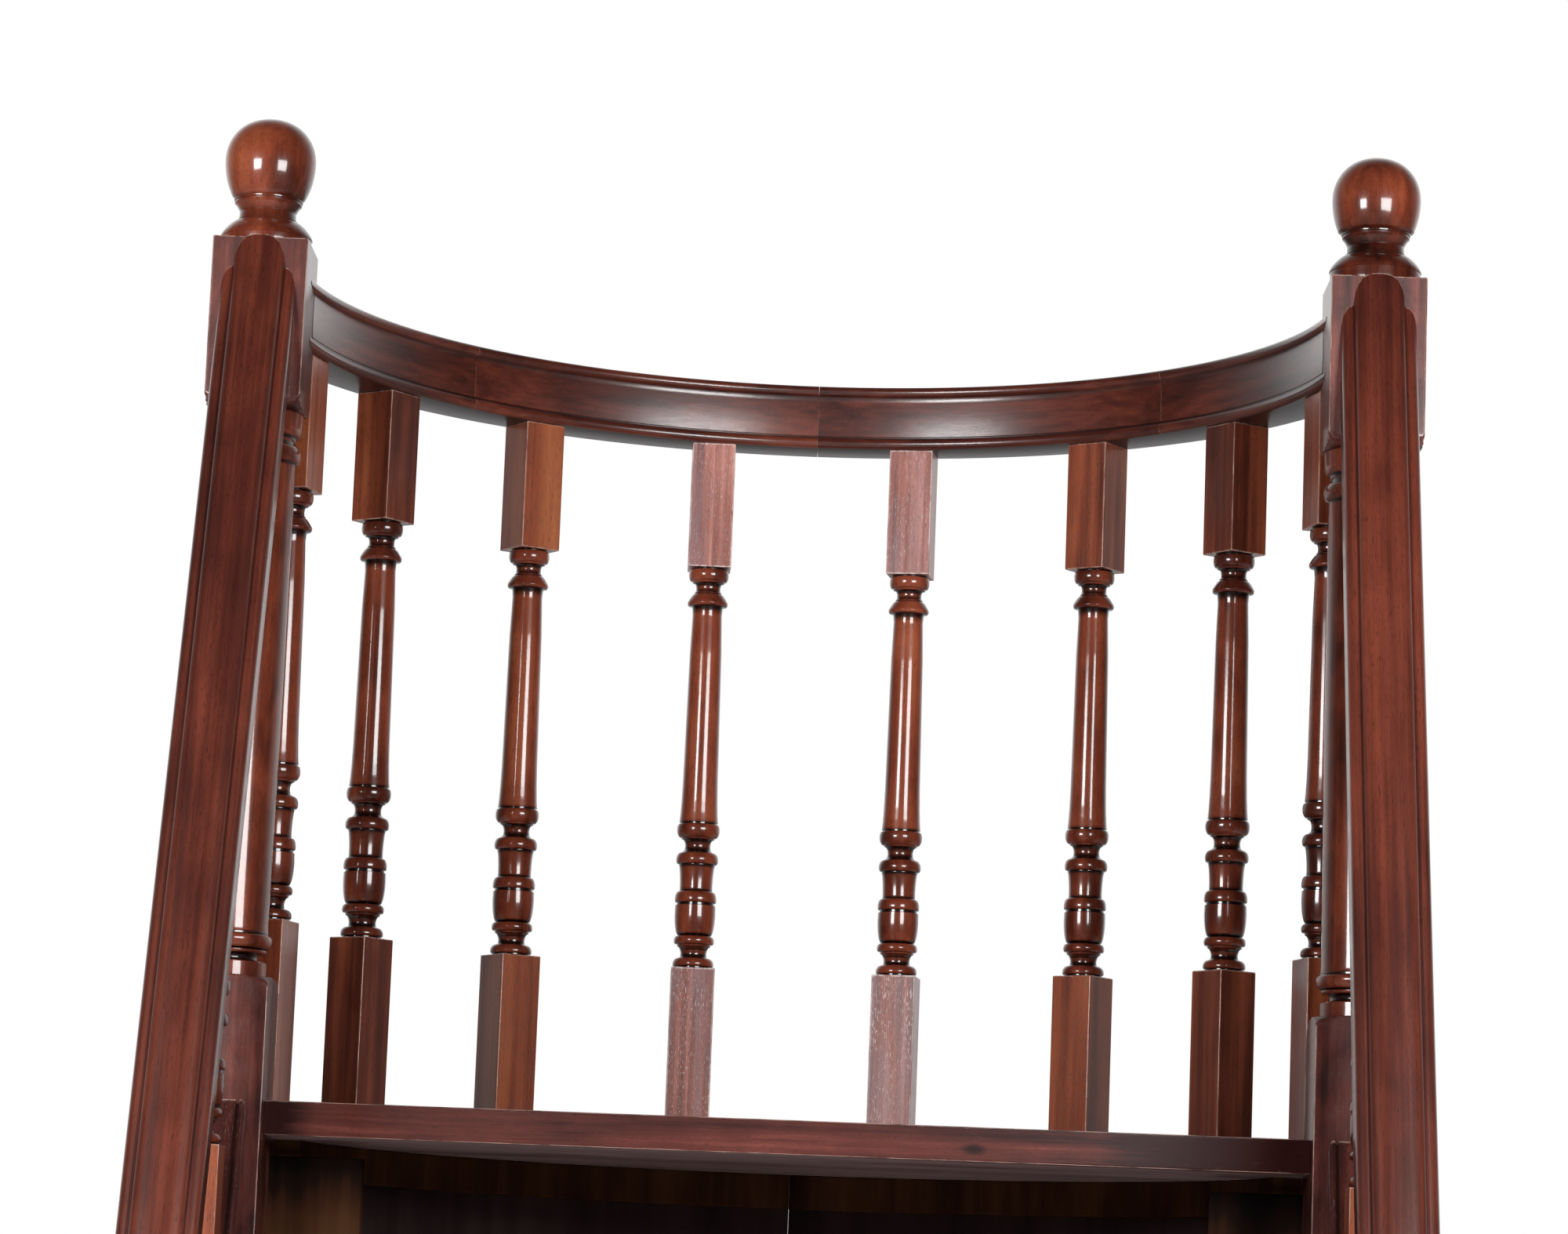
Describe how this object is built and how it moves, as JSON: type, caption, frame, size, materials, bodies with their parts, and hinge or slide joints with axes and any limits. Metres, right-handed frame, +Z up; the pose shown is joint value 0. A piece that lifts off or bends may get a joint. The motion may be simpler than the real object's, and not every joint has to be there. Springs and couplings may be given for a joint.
{
  "type": "library steps",
  "caption": "Tall wooden library steps: a steep open stair with turned newels and handrails, up to a platform with a bowed, balustered gallery.",
  "frame": {"origin": "on the floor, at the middle of the footprint's box", "axes": "+Z up, +Y from the foot of the stair towards the bowed back, +X to a climber's right"},
  "size_m": [1.005, 1.105, 2.5395],
  "materials": {
    "mahogany": "gloss",
    "dark_mahogany": "gloss",
    "plain_timber": "satin"
  },
  "bodies": {
    "root": {"top_newel_left": "mahogany", "top_finial_left": "mahogany", "bottom_newel_left": "mahogany", "bottom_finial_left": "mahogany", "handrail_left": "dark_mahogany", "string_left": "mahogany", "string_capping_left": "mahogany", "flat_board_left": "plain_timber", "back_panel_left": "mahogany", "platform_bearer_left": "plain_timber", "plinth_left": "mahogany", "bow_baluster_left_1": "mahogany", "bow_baluster_left_2": "mahogany", "bow_baluster_left_3": "mahogany", "bow_baluster_left_4": "mahogany", "stair_baluster_left_1": "mahogany", "stair_baluster_left_2": "mahogany", "stair_baluster_left_3": "mahogany", "stair_baluster_left_4": "mahogany", "top_newel_right": "mahogany", "top_finial_right": "mahogany", "bottom_newel_right": "mahogany", "bottom_finial_right": "mahogany", "handrail_right": "dark_mahogany", "string_right": "mahogany", "string_capping_right": "mahogany", "flat_board_right": "plain_timber", "back_panel_right": "mahogany", "platform_bearer_right": "plain_timber", "plinth_right": "mahogany", "bow_baluster_right_1": "mahogany", "bow_baluster_right_2": "mahogany", "bow_baluster_right_3": "mahogany", "bow_baluster_right_4": "mahogany", "stair_baluster_right_1": "mahogany", "stair_baluster_right_2": "mahogany", "stair_baluster_right_3": "mahogany", "stair_baluster_right_4": "mahogany", "rail_left_end": "dark_mahogany", "rail_left_middle": "dark_mahogany", "rail_right_middle": "dark_mahogany", "rail_right_end": "dark_mahogany", "platform_front_board": "mahogany", "platform_back_board": "mahogany", "tread_1": "mahogany", "tread_2": "mahogany", "tread_3": "mahogany", "tread_4": "mahogany", "tread_5": "mahogany", "tread_6": "mahogany", "tread_7": "mahogany"}
  },
  "joints": []
}
